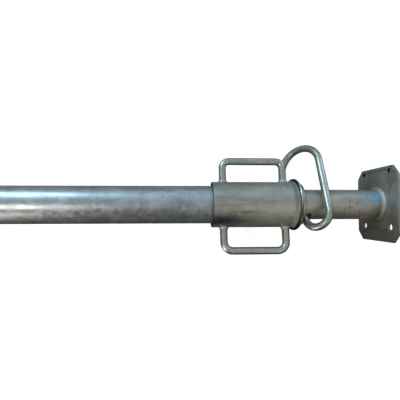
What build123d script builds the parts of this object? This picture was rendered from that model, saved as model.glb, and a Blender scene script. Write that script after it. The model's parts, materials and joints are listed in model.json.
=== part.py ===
from build123d import *
from math import cos, pi, radians, sin
import os

# Adjustable telescopic door security bar in galvanised steel.
# +X runs along the bar from the base plate's outer face to the head plate, +Z is up from the ground
# that the bar lies on, and the origin is the centre of the base plate's outer face. Millimetres.

# ---- Driving dimensions -----------------------------------------------------------------------------
CLOSED_LENGTH = 1009.0        # base plate's outer face to head plate's outer face, screwed right in
TUBE_WALL = 2.9

OUTER_TUBE_RADIUS = 30.15     # 60.3 mm tube
OUTER_TUBE_END = 857.0
OUTER_TUBE_BORE = OUTER_TUBE_RADIUS - TUBE_WALL

INNER_TUBE_RADIUS = 24.15     # 48.3 mm tube
INNER_TUBE_START = 60.0
INNER_TUBE_BORE = INNER_TUBE_RADIUS - TUBE_WALL

PLATE_SIDE = 120.0
PLATE_THICKNESS = 4.0
PLATE_CHAMFER = 15.0
HOLE_SPACING = 75.0
BOLT_ROW = -36.0              # the two bolt holes, from the bar's axis towards -Y
BOLT_HOLE_RADIUS = 5.5
SCREW_ROW = 52.0              # the two screw holes, from the bar's axis towards +Y
SCREW_HOLE_RADIUS = 3.0
PLATE_WELD_LEG = 6.0

ROD_RADIUS = 6.0              # every bent piece is 12 mm round bar

THREAD_PITCH = 8.0
TUBE_THREAD_START = 822.0     # centre of the first ridge on the outer tube
TUBE_THREAD_TURNS = 4
TUBE_THREAD_CREST = 32.3
NUT_THREAD_TURNS = 14
NUT_THREAD_CREST = 30.75
NUT_BORE = 33.0
THREAD_ROOT_WIDTH = 4.8
THREAD_CREST_WIDTH = 3.0
THREAD_SINK = 0.3             # how far a ridge runs into the wall that carries it

SLEEVE_START = 732.0
SLEEVE_END = 860.5
SLEEVE_RADIUS = 36.5

RING_CENTRE = 865.0
RING_RADIUS = 35.75           # to the centre of its bar
RING_WELD_START = 857.4       # where the fillet up to the ring leaves the sleeve
RING_WELD_END = 861.0
RING_WELD_RADIUS = 40.2       # where it meets the ring's flank

HANDLE_LEGS = (750.65, 850.05)
UPPER_HANDLE_REACH = 72.4     # bar's axis to handle bar's centre
LOWER_HANDLE_REACH = 74.1
HANDLE_LEAN = 9.7             # degrees that the handles are turned from level
UPPER_HANDLE_BEND = 11.0
LOWER_HANDLE_BEND = 14.0
HANDLE_WELD_RADIUS = 8.1
HANDLE_WELD_HEIGHT = 4.0

WASHER_START = 871.1
WASHER_THICKNESS = 4.5
WASHER_RADIUS = 34.0
SLIDING_GAP = 0.35            # between sliding round surfaces

BUSH_LENGTH = 15.0
FOOT_RING_START = 62.0
FOOT_RING_LENGTH = 12.0
FOOT_WELD_LEG = 2.4

PIN_CENTRE = 881.8
PIN_TILT = 65.0               # degrees from straight down that the pin's far end points
LOOP_TURN = 40.0              # degrees that the loop is turned about the shank from square
PIN_HOLE_RADIUS = 8.0
PIN_HOLE_SPACING = 100.0
PIN_HOLE_COUNT = 7
PIN_TIP = 30.5                # along the shank, from the bar's axis
PIN_TIP_CHAMFER = 1.5
SHANK_END = -24.6
U_BEND_RADIUS = 20.85
LOOP_SIDE = 91.0
LOOP_TOP_RADIUS = 36.35
LOOP_TOP_SWEEP = 180.0

# ---- Helpers ----------------------------------------------------------------------------------------


def along_x(x, shape):
    """Turn a shape made about Z so that its axis is the bar's axis, with its zero at x."""
    return Pos(x, 0, 0) * Rot(0, 90, 0) * shape


def rod(start, end, radius):
    """A solid cylinder along the bar."""
    cylinder = Cylinder(radius, end - start, align=(Align.CENTER, Align.CENTER, Align.MIN))
    return along_x(start, cylinder)


def pipe(start, end, outside, inside):
    """A hollow cylinder along the bar."""
    return rod(start, end, outside) - rod(start - 1, end + 1, inside)


def turned(points):
    """A ring turned about the bar's axis from (x, radius) points."""
    face = make_face(Polyline(*[(x, radius) for x, radius in points], close=True))
    return revolve(face, axis=Axis.X)


def ridge(start, turns, root, crest):
    """A right-hand thread ridge of trapezium section. The root radius is where it meets its wall."""
    path = Helix(pitch=THREAD_PITCH, height=turns * THREAD_PITCH, radius=root)
    half_root = THREAD_ROOT_WIDTH / 2
    half_crest = THREAD_CREST_WIDTH / 2
    section = Plane.XZ * make_face(Polyline(
        (root, -half_root), (crest, -half_crest), (crest, half_crest), (root, half_root), close=True))
    return along_x(start, sweep(section, path=path, is_frenet=True))


def bent_rod(wire):
    """12 mm round bar along a path of lines and arcs."""
    start = Plane(origin=wire @ 0, z_dir=wire % 0)
    return sweep(start * Circle(ROD_RADIUS), path=wire)


# ---- Outer tube and its base ------------------------------------------------------------------------


def plate(low_face):
    """A square foot plate with clipped corners, two bolt holes and two smaller screw holes."""
    blank = chamfer(Rectangle(PLATE_SIDE, PLATE_SIDE).vertices(), PLATE_CHAMFER)
    for row, radius in ((BOLT_ROW, BOLT_HOLE_RADIUS), (SCREW_ROW, SCREW_HOLE_RADIUS)):
        blank -= Pos(row, 0) * GridLocations(0, HOLE_SPACING, 1, 2) * Circle(radius)
    return Pos(low_face, 0, 0) * extrude(Plane.YZ * blank, PLATE_THICKNESS)


def plate_weld(face, direction, tube_radius):
    """The fillet weld all round a tube where it stands on its plate."""
    toe = face + direction * PLATE_WELD_LEG
    crown = face + direction * PLATE_WELD_LEG * 0.62
    outline = [(face, tube_radius), (toe, tube_radius),
               (crown, tube_radius + PLATE_WELD_LEG * 0.62), (face, tube_radius + PLATE_WELD_LEG)]
    return turned(outline)


def make_outer_tube():
    tube = pipe(PLATE_THICKNESS, OUTER_TUBE_END, OUTER_TUBE_RADIUS, OUTER_TUBE_BORE)
    thread = ridge(TUBE_THREAD_START, TUBE_THREAD_TURNS, OUTER_TUBE_RADIUS - THREAD_SINK, TUBE_THREAD_CREST)
    return tube + thread


def make_guide_bush():
    start = OUTER_TUBE_END - BUSH_LENGTH
    return pipe(start, OUTER_TUBE_END, OUTER_TUBE_BORE, INNER_TUBE_RADIUS + SLIDING_GAP)


# ---- Nut: sleeve, ring and handles ------------------------------------------------------------------


def ring_torus():
    return along_x(RING_CENTRE, Torus(RING_RADIUS, ROD_RADIUS))


def make_nut_sleeve():
    shell = pipe(SLEEVE_START, SLEEVE_END, SLEEVE_RADIUS, NUT_BORE)
    start = TUBE_THREAD_START - (NUT_THREAD_TURNS - TUBE_THREAD_TURNS + 0.5) * THREAD_PITCH
    thread = ridge(start, NUT_THREAD_TURNS, NUT_BORE + THREAD_SINK, NUT_THREAD_CREST)
    return shell + thread - ring_torus()


def handle_plane(side):
    """The plane of a handle: x along the bar, y out from it. Side is 1 for the upper, -1 for the lower."""
    lean = radians(HANDLE_LEAN)
    outwards = Vector(0, side * cos(lean), -side * sin(lean))
    return Plane(origin=(0, 0, 0), x_dir=(1, 0, 0), z_dir=Vector(1, 0, 0).cross(outwards))


def make_handle(side, reach, bend):
    left, right = HANDLE_LEGS
    foot = NUT_BORE
    corners = [(left, foot), (left, reach), (right, reach), (right, foot)]
    path = handle_plane(side) * FilletPolyline(*corners, radius=bend)
    return bent_rod(path.wire()) - rod(SLEEVE_START - 1, SLEEVE_END + 1, SLEEVE_RADIUS)


def foot_place(side, leg):
    """A plane in the sleeve under a handle foot, facing out along the leg."""
    plane = handle_plane(side)
    return Plane(origin=plane.from_local_coords(Vector(leg, NUT_BORE, 0)), z_dir=plane.y_dir)


def foot_cone(side, leg):
    """The outside of the bead round one handle foot."""
    height = SLEEVE_RADIUS - NUT_BORE + HANDLE_WELD_HEIGHT
    cone = Cone(HANDLE_WELD_RADIUS + 1, ROD_RADIUS + 0.6, height, align=(Align.CENTER, Align.CENTER, Align.MIN))
    return foot_place(side, leg) * cone


def make_handle_weld(side, leg):
    """The bead round one handle foot, seated on the sleeve."""
    height = SLEEVE_RADIUS - NUT_BORE + HANDLE_WELD_HEIGHT
    core = Cylinder(ROD_RADIUS, height + 1, align=(Align.CENTER, Align.CENTER, Align.MIN))
    bead = foot_cone(side, leg) - foot_place(side, leg) * core
    return bead - rod(SLEEVE_START - 1, SLEEVE_END + 1, SLEEVE_RADIUS)


def make_ring_weld():
    """The fillet from the sleeve up to the ring's flank, notched round the handle feet."""
    middle = (RING_WELD_START + RING_WELD_END) / 2
    outline = [(RING_WELD_START, SLEEVE_RADIUS), (middle, SLEEVE_RADIUS + 1.6),
               (RING_WELD_END, RING_WELD_RADIUS), (RING_WELD_END, SLEEVE_RADIUS)]
    bead = turned(outline) - ring_torus() - rod(SLEEVE_START, SLEEVE_END + 1, SLEEVE_RADIUS)
    for side in (1, -1):
        bead -= foot_cone(side, HANDLE_LEGS[1])
    return bead


# ---- Washer, inner tube and head --------------------------------------------------------------------


def make_thrust_washer():
    end = WASHER_START + WASHER_THICKNESS
    return pipe(WASHER_START, end, WASHER_RADIUS, INNER_TUBE_RADIUS + SLIDING_GAP)


def pin_plane(turn):
    """The loop's plane: y along the shank towards its tip, x across to the loop's outer side."""
    tilt = radians(PIN_TILT)
    swing = radians(turn)
    tip = Vector(0, sin(tilt), -cos(tilt))
    square = Vector(0, cos(tilt), sin(tilt))
    across = square * cos(swing) + Vector(1, 0, 0) * sin(swing)
    return Plane(origin=(PIN_CENTRE, 0, 0), x_dir=across, z_dir=across.cross(tip))


def make_inner_tube():
    tube = pipe(INNER_TUBE_START, CLOSED_LENGTH - PLATE_THICKNESS, INNER_TUBE_RADIUS, INNER_TUBE_BORE)
    for step in range(PIN_HOLE_COUNT):
        centre = (PIN_CENTRE - step * PIN_HOLE_SPACING, 0, 0)
        drill = Plane(origin=centre, z_dir=pin_plane(0).y_dir)
        tube -= drill * Cylinder(PIN_HOLE_RADIUS, 3 * INNER_TUBE_RADIUS)
    return tube


def make_foot_ring():
    end = FOOT_RING_START + FOOT_RING_LENGTH
    return pipe(FOOT_RING_START, end, OUTER_TUBE_BORE - SLIDING_GAP, INNER_TUBE_RADIUS)


def make_foot_ring_weld():
    face = FOOT_RING_START + FOOT_RING_LENGTH
    return turned([(face, INNER_TUBE_RADIUS), (face + FOOT_WELD_LEG, INNER_TUBE_RADIUS),
                   (face, INNER_TUBE_RADIUS + FOOT_WELD_LEG)])


# ---- Locking pin ------------------------------------------------------------------------------------


def make_pin_shank():
    square = pin_plane(0)
    start = Plane(origin=square.from_local_coords(Vector(0, SHANK_END, 0)), z_dir=square.y_dir)
    length = PIN_TIP - SHANK_END
    shank = Cylinder(ROD_RADIUS, length, align=(Align.CENTER, Align.CENTER, Align.MIN))
    return start * chamfer(shank.edges().sort_by(Axis.Z)[-1], PIN_TIP_CHAMFER)


def make_pin_loop():
    far = 2 * U_BEND_RADIUS
    top = SHANK_END + LOOP_SIDE
    u_bend = CenterArc((U_BEND_RADIUS, SHANK_END), U_BEND_RADIUS, 180, 180)
    side = Line((far, SHANK_END), (far, top))
    arch = CenterArc((far - LOOP_TOP_RADIUS, top), LOOP_TOP_RADIUS, 0, LOOP_TOP_SWEEP)
    path = pin_plane(LOOP_TURN) * (u_bend + side + arch)
    return bent_rod(path.wire())


# ---- Build and export -------------------------------------------------------------------------------

HEAD_FACE = CLOSED_LENGTH - PLATE_THICKNESS

nodes = {
    "base_plate": plate(0),
    "base_plate_weld": plate_weld(PLATE_THICKNESS, 1, OUTER_TUBE_RADIUS),
    "outer_tube": make_outer_tube(),
    "outer_tube_guide_bush": make_guide_bush(),
    "nut_sleeve": make_nut_sleeve(),
    "nut_bearing_ring": ring_torus(),
    "nut_ring_weld": make_ring_weld(),
    "upper_handle": make_handle(1, UPPER_HANDLE_REACH, UPPER_HANDLE_BEND),
    "lower_handle": make_handle(-1, LOWER_HANDLE_REACH, LOWER_HANDLE_BEND),
    "thrust_washer": make_thrust_washer(),
    "inner_tube": make_inner_tube(),
    "inner_tube_foot_ring": make_foot_ring(),
    "foot_ring_weld": make_foot_ring_weld(),
    "head_plate": plate(HEAD_FACE),
    "head_plate_weld": plate_weld(HEAD_FACE, -1, INNER_TUBE_RADIUS),
    "pin_shank": make_pin_shank(),
    "pin_loop": make_pin_loop(),
}
for side, handle in ((1, "upper_handle"), (-1, "lower_handle")):
    for leg, place in zip(HANDLE_LEGS, ("left", "right")):
        nodes[f"{handle}_{place}_weld"] = make_handle_weld(side, leg)

os.makedirs("parts", exist_ok=True)
for name, shape in nodes.items():
    export_step(shape, f"parts/{name}.step")
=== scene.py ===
"""A telescopic door security bar in galvanised steel: finishes, weld beads, stage and camera."""

import json
from math import atan2, cos, pi, radians, sin

import bmesh
import bpy
from bpy.props import FloatProperty, FloatVectorProperty, PointerProperty
from bpy.types import Operator, Panel, PropertyGroup
from mathutils import Matrix, Vector, noise

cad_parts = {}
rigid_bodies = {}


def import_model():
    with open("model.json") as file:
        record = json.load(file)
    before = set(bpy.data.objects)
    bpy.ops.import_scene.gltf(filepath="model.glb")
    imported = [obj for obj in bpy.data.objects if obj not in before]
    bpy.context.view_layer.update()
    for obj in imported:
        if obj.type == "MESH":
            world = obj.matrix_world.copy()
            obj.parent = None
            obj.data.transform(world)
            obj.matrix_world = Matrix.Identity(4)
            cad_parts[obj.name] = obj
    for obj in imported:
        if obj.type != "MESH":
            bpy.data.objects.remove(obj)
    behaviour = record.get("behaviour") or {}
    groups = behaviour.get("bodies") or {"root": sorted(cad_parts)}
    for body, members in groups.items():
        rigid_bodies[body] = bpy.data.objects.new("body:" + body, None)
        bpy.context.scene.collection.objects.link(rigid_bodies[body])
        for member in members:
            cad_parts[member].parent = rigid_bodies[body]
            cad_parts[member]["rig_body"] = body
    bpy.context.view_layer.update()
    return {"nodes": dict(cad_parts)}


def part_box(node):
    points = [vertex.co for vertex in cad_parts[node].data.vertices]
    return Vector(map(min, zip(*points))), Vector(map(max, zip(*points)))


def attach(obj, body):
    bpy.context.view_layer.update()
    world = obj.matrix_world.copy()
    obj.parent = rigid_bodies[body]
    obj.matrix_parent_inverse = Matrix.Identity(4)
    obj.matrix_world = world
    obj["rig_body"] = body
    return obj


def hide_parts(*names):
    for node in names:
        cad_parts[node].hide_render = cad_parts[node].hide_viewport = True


bl_info = {
    "name": "Door security bar",
    "version": (1, 0, 0),
    "blender": (4, 5, 0),
    "location": "View3D > Sidebar > Security bar",
    "description": "Finishes a telescopic galvanised bar: zinc, weld beads and stage",
    "category": "Object",
}

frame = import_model()

MM = 0.001
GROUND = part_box("base_plate")[0].z

ROUND_BARS = ("upper_handle", "lower_handle", "pin_shank", "pin_loop")
PLATES = ("base_plate", "head_plate")
PLAIN_PARTS = ("outer_tube_guide_bush", "inner_tube_foot_ring", "thrust_washer")
RING_WELDS = ("base_plate_weld", "head_plate_weld", "foot_ring_weld")
FOOT_WELDS = tuple(f"{handle}_handle_{side}_weld"
                   for handle in ("upper", "lower") for side in ("left", "right"))

ALONG_BAR = Vector((1, 0, 0))
FACET_GAP = 0.002 * MM              # corners this close are one corner
SCREW_HOLE = (0, 0.052, 0.0375)     # centre of a plate's small hole, for either sign of Z
LUMP_SCALE = 170                    # a bead's uneven lumps, about this many to the metre
BEAD_LEAN = 0.35                    # how far a ripple bends across its bead, in radians

CAMERA_TILT = (2.02, -3.35, -0.13)  # degrees
SENSOR_WIDTH = 36
SKY_LEAN = 57                       # degrees from straight up to the brightest part, towards +Y
SKY_STOPS = (
    (0.0, (0.06, 0.06, 0.06)),
    (0.345, (0.08, 0.08, 0.08)),
    (0.517, (0.13, 0.13, 0.13)),
    (0.671, (0.28, 0.30, 0.30)),
    (0.808, (0.33, 0.37, 0.39)),
    (0.919, (0.38, 0.47, 0.56)),
    (0.985, (0.48, 0.62, 0.78)),
    (1.0, (0.55, 0.74, 0.92)),
)
# Name, place, what it faces, width, height, watts and colour
LAMPS = (
    ("Cool window", (-0.20, 1.25, 0.70), (0.45, 0, 0), 0.60, 0.55, 6.5, (0.60, 0.93, 1.0)),
    ("Cool doorway", (2.15, 1.25, 0.45), (0.87, 0, 0), 0.5, 0.6, 2.5, (0.74, 0.93, 1.0)),
    ("Warm strip", (-0.25, -0.34, 1.40), (0.45, 0, 0), 0.5, 0.12, 4.2, (1.0, 0.94, 0.82)),
    ("Warm ceiling", (1.45, -0.35, 1.30), (0.90, 0, 0), 0.9, 0.5, 1.2, (1.0, 0.98, 0.90)),
    ("Left fill", (-0.60, -1.15, 0.42), (0.42, 0, 0), 0.6, 1.0, 8, (1.0, 0.97, 0.86)),
    ("Side fill", (1.25, -0.95, 0.90), (0.85, 0, 0), 0.8, 0.6, 0.6, (1.0, 0.97, 0.88)),
)


# ---- Settings ---------------------------------------------------------------------------------------


def colour(name, description, value):
    """A colour setting."""
    return FloatVectorProperty(name=name, description=description, default=value,
                               subtype="COLOR", size=3, min=0, max=1)


class ZincSettings(PropertyGroup):
    """Colours and grain of the galvanised finishes."""

    tube_colour: colour("Outer tube", "Bluish zinc of the outer tube", (0.46, 0.485, 0.51))
    inner_colour: colour("Inner tube", "Warm zinc of the inner tube", (0.50, 0.47, 0.415))
    sleeve_colour: colour("Sleeve", "Greenish weathered zinc of the sleeve", (0.455, 0.44, 0.378))
    bar_colour: colour("Round bar", "Brighter zinc of the bent round bar", (0.50, 0.50, 0.45))
    plate_colour: colour("Plates", "Dark olive zinc of the end plates", (0.385, 0.375, 0.335))
    weld_colour: colour("Weld", "Zinc over the weld beads", (0.50, 0.515, 0.51))
    plain_colour: colour("Plain steel", "Washer, bush and ring", (0.38, 0.42, 0.36))
    spangle: FloatProperty(name="Spangle size", description="Width of one zinc crystal",
                           default=7 * MM, min=1 * MM, max=40 * MM, unit="LENGTH")
    speck: FloatProperty(name="Speck size", description="Spacing of the dark specks",
                         default=6 * MM, min=1 * MM, max=40 * MM, unit="LENGTH")


class WeldSettings(PropertyGroup):
    """Shape of the weld beads."""

    voxel: FloatProperty(name="Mesh size", description="Size of the bead's facets",
                         default=0.6 * MM, min=0.2 * MM, max=2 * MM, unit="LENGTH")
    ripple: FloatProperty(name="Ripple spacing", description="Length of one ripple along the bead",
                          default=4.2 * MM, min=1 * MM, max=20 * MM, unit="LENGTH")
    depth: FloatProperty(name="Ripple depth", description="Height of one ripple",
                         default=0.30 * MM, min=0, max=2 * MM, unit="LENGTH")


class StageSettings(PropertyGroup):
    """Camera and floor."""

    camera_x: FloatProperty(name="Camera along bar", description="Where the camera stands",
                            default=0.6796, unit="LENGTH")
    camera_y: FloatProperty(name="Camera aside", description="Camera's distance to the side",
                            default=-0.0129, unit="LENGTH")
    camera_height: FloatProperty(name="Camera height", description="Height over the bar's axis",
                                 default=0.5779, unit="LENGTH")
    lens: FloatProperty(name="Lens", description="Focal length for a 36 mm sensor",
                        default=32.49, min=10, max=200)
    floor_size: FloatProperty(name="Floor size", description="Side of the floor",
                              default=12, unit="LENGTH")


# ---- Helpers ----------------------------------------------------------------------------------------


def set_stops(ramp, stops):
    """Give a ramp node its (position, value or colour) stops."""
    elements = ramp.color_ramp.elements
    while len(elements) < len(stops):
        elements.new(0.5)
    for element, (position, value) in zip(elements, stops):
        element.position = position
        shade = (value,) * 3 if isinstance(value, (int, float)) else tuple(value)
        element.color = (*shade, 1)


class Wiring:
    """A material's nodes, placed and linked in a few words."""

    def __init__(self, name):
        self.material = bpy.data.materials.new(name)
        self.material.use_nodes = True
        self.tree = self.material.node_tree
        self.shader = self.tree.nodes["Principled BSDF"]
        self.place = self.node("ShaderNodeTexCoord").outputs["Object"]

    def node(self, kind, **values):
        """A new node with its own settings."""
        made = self.tree.nodes.new(kind)
        for key, value in values.items():
            setattr(made, key, value)
        return made

    def link(self, source, target):
        """Feed one socket from another."""
        self.tree.links.new(source, target)

    def scaled(self, scale, offset=(0, 0, 0)):
        """Object coordinates stretched by scale, for a pattern with a direction."""
        mapping = self.node("ShaderNodeMapping")
        mapping.inputs["Scale"].default_value = scale
        mapping.inputs["Location"].default_value = offset
        self.link(self.place, mapping.inputs["Vector"])
        return mapping.outputs["Vector"]

    def noise(self, vector, scale, detail=4, roughness=0.55):
        """Cloudy values around 0.5."""
        made = self.node("ShaderNodeTexNoise")
        made.inputs["Scale"].default_value = scale
        made.inputs["Detail"].default_value = detail
        made.inputs["Roughness"].default_value = roughness
        self.link(vector, made.inputs["Vector"])
        return made.outputs["Fac"]

    def cells(self, vector, scale):
        """A random colour for each crystal."""
        made = self.node("ShaderNodeTexVoronoi")
        made.inputs["Scale"].default_value = scale
        self.link(vector, made.inputs["Vector"])
        return made.outputs["Color"]

    def axes(self):
        """Object coordinates as three separate values."""
        parts = self.node("ShaderNodeSeparateXYZ")
        self.link(self.place, parts.inputs[0])
        return parts.outputs["X"], parts.outputs["Y"], parts.outputs["Z"]

    def fade(self, source, start, end, amount=1.0):
        """Amount where the source is below start, falling smoothly to 0 at end."""
        made = self.node("ShaderNodeMapRange", interpolation_type="SMOOTHSTEP")
        made.inputs["From Min"].default_value = start
        made.inputs["From Max"].default_value = end
        made.inputs["To Min"].default_value = amount
        made.inputs["To Max"].default_value = 0
        self.link(source, made.inputs["Value"])
        return made.outputs["Result"]

    def near(self, centre, inside, outside, amount=1.0, stretch=(1, 1, 1), wobble=0.35):
        """Amount near a point and 0 away from it, with an uneven rim."""
        distance = self.node("ShaderNodeVectorMath", operation="DISTANCE")
        distance.inputs[1].default_value = [c * k for c, k in zip(centre, stretch)]
        self.link(self.scaled(stretch), distance.inputs[0])
        rough = self.maths("MULTIPLY", self.noise(self.place, 110), wobble * (outside + inside))
        uneven = self.maths("ADD", distance.outputs["Value"], rough)
        return self.fade(uneven, inside, outside, amount)

    def over(self, name, factor, value):
        """Lay a value over what feeds one of the shader's inputs, where the factor says."""
        socket = self.shader.inputs[name]
        under = socket.links[0].from_socket
        self.link(self.mix(factor, under, value), socket)

    def tint(self, factor, shade):
        """Lay a colour over the base colour, where the factor says."""
        self.over("Base Color", factor, shade)

    def mark(self, shade, **spot):
        """Lay a colour over the base colour near a point."""
        self.tint(self.near(**spot), shade)

    def flipped(self, value):
        """One minus a value."""
        return self.maths("SUBTRACT", 1.0, value)

    def ramp(self, source, *stops):
        """Map a value through (position, value or colour) stops."""
        made = self.node("ShaderNodeValToRGB")
        set_stops(made, stops)
        self.link(source, made.inputs["Fac"])
        return made.outputs["Color"]

    def mix(self, factor, a, b, mode="MIX"):
        """Mix two colours. Each may be a socket or a plain colour, and the factor a number."""
        made = self.node("ShaderNodeMix", data_type="RGBA", blend_type=mode)
        for socket, value in ((made.inputs[0], factor), (made.inputs[6], a), (made.inputs[7], b)):
            if isinstance(value, bpy.types.NodeSocket):
                self.link(value, socket)
            elif isinstance(value, (int, float)):
                socket.default_value = value
            else:
                socket.default_value = (*value, 1)
        return made.outputs[2]

    def maths(self, operation, a, b=0):
        """A calculation on two values. Each may be a socket or a number."""
        made = self.node("ShaderNodeMath", operation=operation)
        for socket, value in ((made.inputs[0], a), (made.inputs[1], b)):
            if isinstance(value, bpy.types.NodeSocket):
                self.link(value, socket)
            else:
                socket.default_value = value
        return made.outputs[0]

    def bump(self, height, strength, distance, under=None):
        """A normal bent by a height, over another normal if one is given."""
        made = self.node("ShaderNodeBump")
        made.inputs["Strength"].default_value = strength
        made.inputs["Distance"].default_value = distance
        self.link(height, made.inputs["Height"])
        if under is not None:
            self.link(under, made.inputs["Normal"])
        return made.outputs["Normal"]


def zinc(name, shade, smooth, rough, streaks=0.35, specks=0.5, metal=0.88, skin_depth=1.0):
    """Hot-dip zinc: crystals, drawn streaks, clouds of white bloom, dark specks and a fine skin."""
    settings = bpy.context.scene.bar_zinc
    w = Wiring(name)
    dark = tuple(0.55 * c for c in shade)
    pale = tuple(min(1, 1.28 * c + 0.02) for c in shade)
    crystals = w.cells(w.place, 1 / settings.spangle)
    crystal = w.ramp(crystals, (0.0, 0.80), (1.0, 1.0))
    streak = w.noise(w.scaled((6, 70, 70)), 1.0, 5)
    cloud = w.noise(w.place, 26, 4)
    tone = w.mix(w.ramp(cloud, (0.34, 0.0), (0.68, 1.0)), shade, pale)
    tone = w.mix(w.ramp(streak, (0.52, 0.0), (0.72, streaks)), tone, dark)
    tone = w.mix(1.0, tone, crystal, "MULTIPLY")
    speck = w.ramp(w.noise(w.place, 1 / settings.speck, 3), (0.66, 0.0), (0.72, specks))
    tone = w.mix(speck, tone, tuple(0.30 * c for c in shade))
    w.link(tone, w.shader.inputs["Base Color"])
    w.shader.inputs["Metallic"].default_value = metal
    grain = w.mix(0.5, streak, crystals)
    w.link(w.ramp(grain, (0.25, smooth), (0.75, rough)), w.shader.inputs["Roughness"])
    skin = w.bump(w.noise(w.place, 900, 2), 0.10 * skin_depth, 0.2 * MM)
    skin = w.bump(w.noise(w.scaled((30, 120, 120)), 1.0, 3), 0.35 * skin_depth, 0.5 * MM, skin)
    w.link(skin, w.shader.inputs["Normal"])
    return w


def dress(node, material, bevel=0.0):
    """Give a CAD node its finish, smooth its round faces and ease its sharp edges."""
    piece = frame["nodes"][node]
    piece.data.materials.clear()
    piece.data.materials.append(material)
    piece.data.shade_smooth()
    weld = piece.modifiers.new("Join facets", "WELD")
    weld.merge_threshold = FACET_GAP
    if bevel:
        edge = piece.modifiers.new("Eased edges", "BEVEL")
        edge.width = bevel
        edge.segments = 2
        edge.limit_method = "ANGLE"
        edge.angle_limit = radians(40)
    crease = piece.modifiers.new("Crisp edges", "EDGE_SPLIT")
    crease.split_angle = radians(38)
    return piece


def area_light(name, place, target, width, height, energy, shade):
    """A soft rectangular light that faces its target."""
    light = bpy.data.lights.new(name, "AREA")
    light.shape = "RECTANGLE"
    light.size = width
    light.size_y = height
    light.energy = energy
    light.color = shade
    lamp = bpy.data.objects.new(name, light)
    lamp.location = place
    lamp.rotation_euler = (Vector(target) - Vector(place)).to_track_quat("-Z", "Y").to_euler()
    bpy.context.scene.collection.objects.link(lamp)
    return lamp


# ---- Operators --------------------------------------------------------------------------------------


class BAR_OT_tubes(Operator):
    """Finish the outer and the inner tube"""

    bl_idname = "bar.tubes"
    bl_label = "Tubes"

    def execute(self, context):
        shades = context.scene.bar_zinc
        outer = zinc("Zinc, outer tube", shades.tube_colour, smooth=0.30, rough=0.46,
                     streaks=0.30, specks=0.45)
        inner = zinc("Zinc, inner tube", shades.inner_colour, smooth=0.40, rough=0.58,
                     streaks=0.35, specks=0.75)
        self.painted_light_and_spots(inner)
        dress("outer_tube", outer.material)
        dress("inner_tube", inner.material)
        return {"FINISHED"}

    def painted_light_and_spots(self, w):
        """A painted blue reflection by the head, painted shade at the pin's hole and under the weld,
        and a spotted patch.
        """
        # Painted reflection: a blue patch on the inner tube next to the head plate.
        w.mark((0.36, 0.66, 0.88), centre=(0.993, 0.0115, 0.0205), inside=4 * MM, outside=24 * MM,
               amount=0.85, stretch=(0.6, 1, 1))
        # Painted shadow: near black round the pin's hole, where the pin's bend shades the tube.
        w.mark((0.010, 0.010, 0.010), centre=(0.8855, -0.0165, 0.0175), inside=2 * MM,
               outside=7.5 * MM, amount=0.97)
        # Painted shade: the lower side of the inner tube is darker under the weld at the head plate.
        w.mark((0.15, 0.14, 0.11), centre=(1.002, -0.0175, 0.0165), inside=8 * MM, outside=32 * MM,
               amount=0.62, stretch=(0.8, 1, 1))
        spots = w.ramp(w.noise(w.place, 300, 2), (0.585, 0.0), (0.625, 1.0))
        patch = w.near((0.954, -0.002, 0.0240), 14 * MM, 32 * MM, 0.85, (0.8, 1, 1))
        w.tint(w.maths("MULTIPLY", spots, patch), (0.10, 0.11, 0.10))


class BAR_OT_sleeve(Operator):
    """Finish the sleeve of the nut, with its ring and the weld between them"""

    bl_idname = "bar.sleeve"
    bl_label = "Sleeve"

    def execute(self, context):
        shade = context.scene.bar_zinc.sleeve_colour
        w = zinc("Zinc, sleeve", shade, smooth=0.42, rough=0.60, streaks=0.55, specks=0.4)
        w.mark((0.035, 0.06, 0.078), centre=(0.745, -0.0255, 0.0260), inside=7 * MM, outside=29 * MM,
               amount=0.93, stretch=(0.36, 1, 1))
        w.mark((0.05, 0.05, 0.045), centre=(0.785, -0.012, 0.0345), inside=0.5 * MM, outside=5 * MM,
               amount=0.6, stretch=(0.12, 1, 1))
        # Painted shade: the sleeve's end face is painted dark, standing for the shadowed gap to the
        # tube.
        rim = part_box("nut_sleeve")[0].x
        w.tint(w.fade(w.axes()[0], rim + 0.3 * MM, rim + 1.0 * MM, 0.85), (0.03, 0.04, 0.05))
        w.mark((0.72, 0.71, 0.63), centre=(0.832, -0.021, 0.0295), inside=10 * MM, outside=40 * MM,
               amount=0.5, stretch=(0.5, 1, 1))
        dress("nut_sleeve", w.material)
        ring = self.ring(shade)
        dress("nut_ring_weld", ring.material)
        dress("nut_bearing_ring", ring.material)
        return {"FINISHED"}

    def ring(self, shade):
        """Dull like the sleeve on the side welded to it, in a darker copy of the sleeve's zinc that is
        painted shade; painted black shade in the crease and a painted cool highlight beyond it.
        """
        # Painted shade: the ring's zinc is the sleeve's colour darkened to 0.60.
        w = zinc("Zinc, ring", tuple(0.60 * c for c in shade), smooth=0.58, rough=0.72,
                 streaks=0.3, specks=0.3, metal=0.75)
        along, across, height = w.axes()
        low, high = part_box("nut_bearing_ring")
        crest = (low.x + high.x) / 2
        # Painted shade: the flank between the crease and the crest is painted near black.
        flank = w.fade(along, crest + 0.4 * MM, crest + 1.2 * MM)
        crease_lean = 0.144  # how far the crease runs along the bar for each unit of height
        leaned = w.maths("SUBTRACT", along, w.maths("MULTIPLY", height, crease_lean))
        sleeve_side = w.fade(leaned, crest - 6.9 * MM, crest - 6.1 * MM)
        w.tint(w.maths("MULTIPLY", flank, w.flipped(sleeve_side)), (0.012, 0.016, 0.020))
        beyond = w.flipped(flank)
        w.over("Roughness", beyond, (0.24, 0.24, 0.24))
        # Painted highlight: a pale cool tint beyond the crest on the +Y side.
        lit = w.fade(w.maths("MULTIPLY", across, -1.0), -12 * MM, 8 * MM)
        w.tint(w.maths("MULTIPLY", beyond, lit), (0.78, 0.92, 1.0))
        return w


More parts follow.
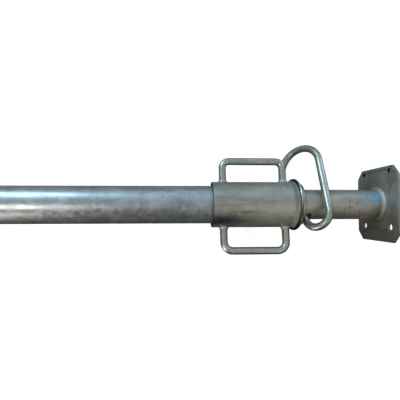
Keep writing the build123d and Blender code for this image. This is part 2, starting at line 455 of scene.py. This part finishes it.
class BAR_OT_round_bars(Operator):
    """Finish the handles and the pin, which are bent from round bar"""

    bl_idname = "bar.round_bars"
    bl_label = "Round bars"

    def execute(self, context):
        w = zinc("Zinc, round bar", context.scene.bar_zinc.bar_colour, smooth=0.26, rough=0.38,
                 streaks=0.3, specks=0.3, metal=0.92, skin_depth=0.35)
        for node in ROUND_BARS:
            dress(node, w.material)
        return {"FINISHED"}


class BAR_OT_plates(Operator):
    """Finish the two end plates"""

    bl_idname = "bar.plates"
    bl_label = "End plates"

    def execute(self, context):
        w = zinc("Zinc, end plates", context.scene.bar_zinc.plate_colour, smooth=0.40, rough=0.60,
                 streaks=0.5, specks=0.6, metal=0.7)
        across, height = w.axes()[1:]
        folded = w.node("ShaderNodeCombineXYZ")
        w.link(across, folded.inputs["Y"])
        w.link(w.maths("ABSOLUTE", height), folded.inputs["Z"])
        hole = w.node("ShaderNodeVectorMath", operation="DISTANCE")
        hole.inputs[1].default_value = SCREW_HOLE
        w.link(folded.outputs[0], hole.inputs[0])
        # Painted shade: the plates are darker towards the -Y side.
        w.tint(w.fade(across, -20 * MM, 12 * MM, 0.55), (0.20, 0.195, 0.165))
        # Painted reflection: a blue sheen on the plate face above the tube.
        w.mark((0.20, 0.33, 0.40), centre=(1.005, 0.004, 0.040), inside=6 * MM, outside=34 * MM,
               amount=0.6)
        # Painted shade: black discs where the small holes show dark inside.
        w.tint(w.fade(hole.outputs["Value"], 3.0 * MM, 4.4 * MM), (0.004, 0.004, 0.004))
        for node in PLATES:
            dress(node, w.material, bevel=0.5 * MM)
        return {"FINISHED"}


class BAR_OT_plain_parts(Operator):
    """Finish the washer, the guide bush and the foot ring"""

    bl_idname = "bar.plain_parts"
    bl_label = "Washer, bush and ring"

    def execute(self, context):
        w = zinc("Plain steel", context.scene.bar_zinc.plain_colour, smooth=0.28, rough=0.45,
                 streaks=0.3, specks=0.3, metal=0.95)
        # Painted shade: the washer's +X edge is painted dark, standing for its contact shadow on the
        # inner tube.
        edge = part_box("thrust_washer")[1].x
        face = w.fade(w.axes()[0], edge - 1.1 * MM, edge - 0.5 * MM)
        w.tint(w.flipped(face), (0.03, 0.035, 0.03))
        for node in PLAIN_PARTS:
            dress(node, w.material, bevel=0.3 * MM)
        return {"FINISHED"}


def rippled(node, material, centre, axis, radius):
    """A weld bead in overlapping ripples, worked from the node's own solid."""
    settings = bpy.context.scene.bar_weld
    source = frame["nodes"][node]
    mesh = source.data.copy()
    piece = bpy.data.objects.new(f"{node}_bead", mesh)
    bpy.context.scene.collection.objects.link(piece)
    form = bmesh.new()
    form.from_mesh(mesh)
    bmesh.ops.remove_doubles(form, verts=form.verts, dist=FACET_GAP)
    form.to_mesh(mesh)
    form.free()
    remesh = piece.modifiers.new("Even facets", "REMESH")
    remesh.mode = "VOXEL"
    remesh.voxel_size = settings.voxel
    graph = bpy.context.evaluated_depsgraph_get()
    even = bpy.data.meshes.new_from_object(piece.evaluated_get(graph))
    piece.modifiers.clear()
    piece.data = even
    side = axis.orthogonal().normalized()
    other = axis.cross(side)
    form = bmesh.new()
    form.from_mesh(even)
    bmesh.ops.smooth_vert(form, verts=form.verts, factor=0.5, use_axis_x=True, use_axis_y=True,
                          use_axis_z=True)
    form.normal_update()
    count = max(8, round(2 * pi * radius / settings.ripple))
    for vert in form.verts:
        arm = vert.co - centre
        angle = atan2(arm.dot(other), arm.dot(side))
        lumps = noise.noise(vert.co * LUMP_SCALE) * 0.5 * settings.depth
        lean = BEAD_LEAN * sin((arm.length - radius) / radius * 4)
        wave = abs(sin((angle + lean) * count / 2))
        vert.co += vert.normal * (settings.depth * (wave - 0.75) + lumps)
    form.to_mesh(even)
    form.free()
    even.materials.clear()
    even.materials.append(material)
    even.shade_smooth()
    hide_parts(node)
    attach(piece, source["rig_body"])
    return piece


class BAR_OT_weld_beads(Operator):
    """Lay rippled beads at the plates, the ring and the handles' feet"""

    bl_idname = "bar.weld_beads"
    bl_label = "Weld beads"

    def execute(self, context):
        shade = context.scene.bar_zinc.weld_colour
        finish = {"smooth": 0.40, "rough": 0.55, "streaks": 0.2, "specks": 0.5, "metal": 0.85,
                  "skin_depth": 0.5}
        w = zinc("Zinc, weld", shade, **finish)
        weld_painted_shade = zinc("Zinc, weld round a tube", shade, **finish)
        # Painted shade: the beads round the tubes are darker towards the -Y side.
        weld_painted_shade.tint(weld_painted_shade.fade(weld_painted_shade.axes()[1], -16 * MM, 12 * MM, 0.8), (0.17, 0.16, 0.13))
        for node in RING_WELDS:
            low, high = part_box(node)
            centre = Vector(((low.x + high.x) / 2, 0, 0))
            rippled(node, weld_painted_shade.material, centre, ALONG_BAR, high.z)
        for node in FOOT_WELDS:
            low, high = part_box(node)
            centre = (low + high) / 2
            outwards = Vector((0, centre.y, centre.z)).normalized()
            rippled(node, w.material, centre, outwards, (high.x - low.x) / 2)
        return {"FINISHED"}


class BAR_OT_stage(Operator):
    """Lay the floor, hang the lights and stand the camera over the bar"""

    bl_idname = "bar.stage"
    bl_label = "Stage"

    def execute(self, context):
        settings = context.scene.bar_stage
        self.floor(settings)
        self.sky()
        for lamp in LAMPS:
            area_light(*lamp)
        camera = bpy.data.objects.new("Camera", bpy.data.cameras.new("Camera"))
        camera.location = (settings.camera_x, settings.camera_y, settings.camera_height)
        camera.rotation_euler = [radians(angle) for angle in CAMERA_TILT]
        camera.data.lens = settings.lens
        camera.data.sensor_width = SENSOR_WIDTH
        camera.data.clip_start = 0.01
        context.scene.collection.objects.link(camera)
        context.scene.camera = camera
        context.scene.view_settings.view_transform = "Standard"
        return {"FINISHED"}

    def floor(self, settings):
        """A floor that looks white to the camera and, in reflections, is grey with painted shade on
        the -Y side.
        """
        form = bmesh.new()
        bmesh.ops.create_grid(form, x_segments=1, y_segments=1, size=settings.floor_size / 2,
                              matrix=Matrix.Translation((0.5, 0, GROUND)))
        mesh = bpy.data.meshes.new("Floor")
        form.to_mesh(mesh)
        form.free()
        floor = bpy.data.objects.new("Floor", mesh)
        bpy.context.scene.collection.objects.link(floor)
        w = Wiring("Pale floor")
        w.shader.inputs["Roughness"].default_value = 0.9
        seen = w.node("ShaderNodeLightPath").outputs["Is Camera Ray"]
        across = w.axes()[1]
        # Painted shade: for rays other than the camera's, the floor is darker on the -Y side.
        dim = w.mix(w.fade(across, -0.06, 0.10), (0.34, 0.36, 0.38), (0.07, 0.07, 0.068))
        w.link(w.mix(seen, dim, (0.9, 0.9, 0.9)), w.shader.inputs["Base Color"])
        w.shader.inputs["Emission Color"].default_value = (1, 1, 1, 1)
        w.link(w.maths("MULTIPLY", seen, 0.74), w.shader.inputs["Emission Strength"])
        mesh.materials.append(w.material)

    def sky(self):
        """A dim room that is bright and cool on the +Y side."""
        world = bpy.data.worlds.new("Room")
        world.use_nodes = True
        bpy.context.scene.world = world
        tree = world.node_tree
        look = tree.nodes.new("ShaderNodeTexCoord")
        towards = tree.nodes.new("ShaderNodeVectorMath")
        towards.operation = "DOT_PRODUCT"
        lean = radians(SKY_LEAN)
        towards.inputs[1].default_value = (0, sin(lean), cos(lean))
        half = tree.nodes.new("ShaderNodeMath")
        half.operation = "MULTIPLY_ADD"
        half.inputs[1].default_value = 0.5
        half.inputs[2].default_value = 0.5
        ramp = tree.nodes.new("ShaderNodeValToRGB")
        set_stops(ramp, SKY_STOPS)
        background = tree.nodes["Background"]
        tree.links.new(look.outputs["Generated"], towards.inputs[0])
        tree.links.new(towards.outputs["Value"], half.inputs[0])
        tree.links.new(half.outputs[0], ramp.inputs["Fac"])
        tree.links.new(ramp.outputs["Color"], background.inputs["Color"])
        background.inputs["Strength"].default_value = 1.0


STEPS = (BAR_OT_tubes, BAR_OT_sleeve, BAR_OT_round_bars, BAR_OT_plates, BAR_OT_plain_parts,
         BAR_OT_weld_beads, BAR_OT_stage)


class BAR_PT_panel(Panel):
    """The bar's steps, in order"""

    bl_idname = "BAR_PT_panel"
    bl_label = "Security bar"
    bl_space_type = "VIEW_3D"
    bl_region_type = "UI"
    bl_category = "Security bar"

    def draw(self, context):
        for step in STEPS:
            self.layout.operator(step.bl_idname)
        for settings in (context.scene.bar_zinc, context.scene.bar_weld, context.scene.bar_stage):
            box = self.layout.box()
            for name in settings.__annotations__:
                box.prop(settings, name)


CLASSES = (ZincSettings, WeldSettings, StageSettings, *STEPS, BAR_PT_panel)


def register():
    for kind in CLASSES:
        bpy.utils.register_class(kind)
    bpy.types.Scene.bar_zinc = PointerProperty(type=ZincSettings)
    bpy.types.Scene.bar_weld = PointerProperty(type=WeldSettings)
    bpy.types.Scene.bar_stage = PointerProperty(type=StageSettings)


def unregister():
    del bpy.types.Scene.bar_stage
    del bpy.types.Scene.bar_weld
    del bpy.types.Scene.bar_zinc
    for kind in reversed(CLASSES):
        bpy.utils.unregister_class(kind)


def main():
    register()
    for step in STEPS:
        group, name = step.bl_idname.split(".")
        getattr(getattr(bpy.ops, group), name)()


if __name__ == "__main__":
    main()
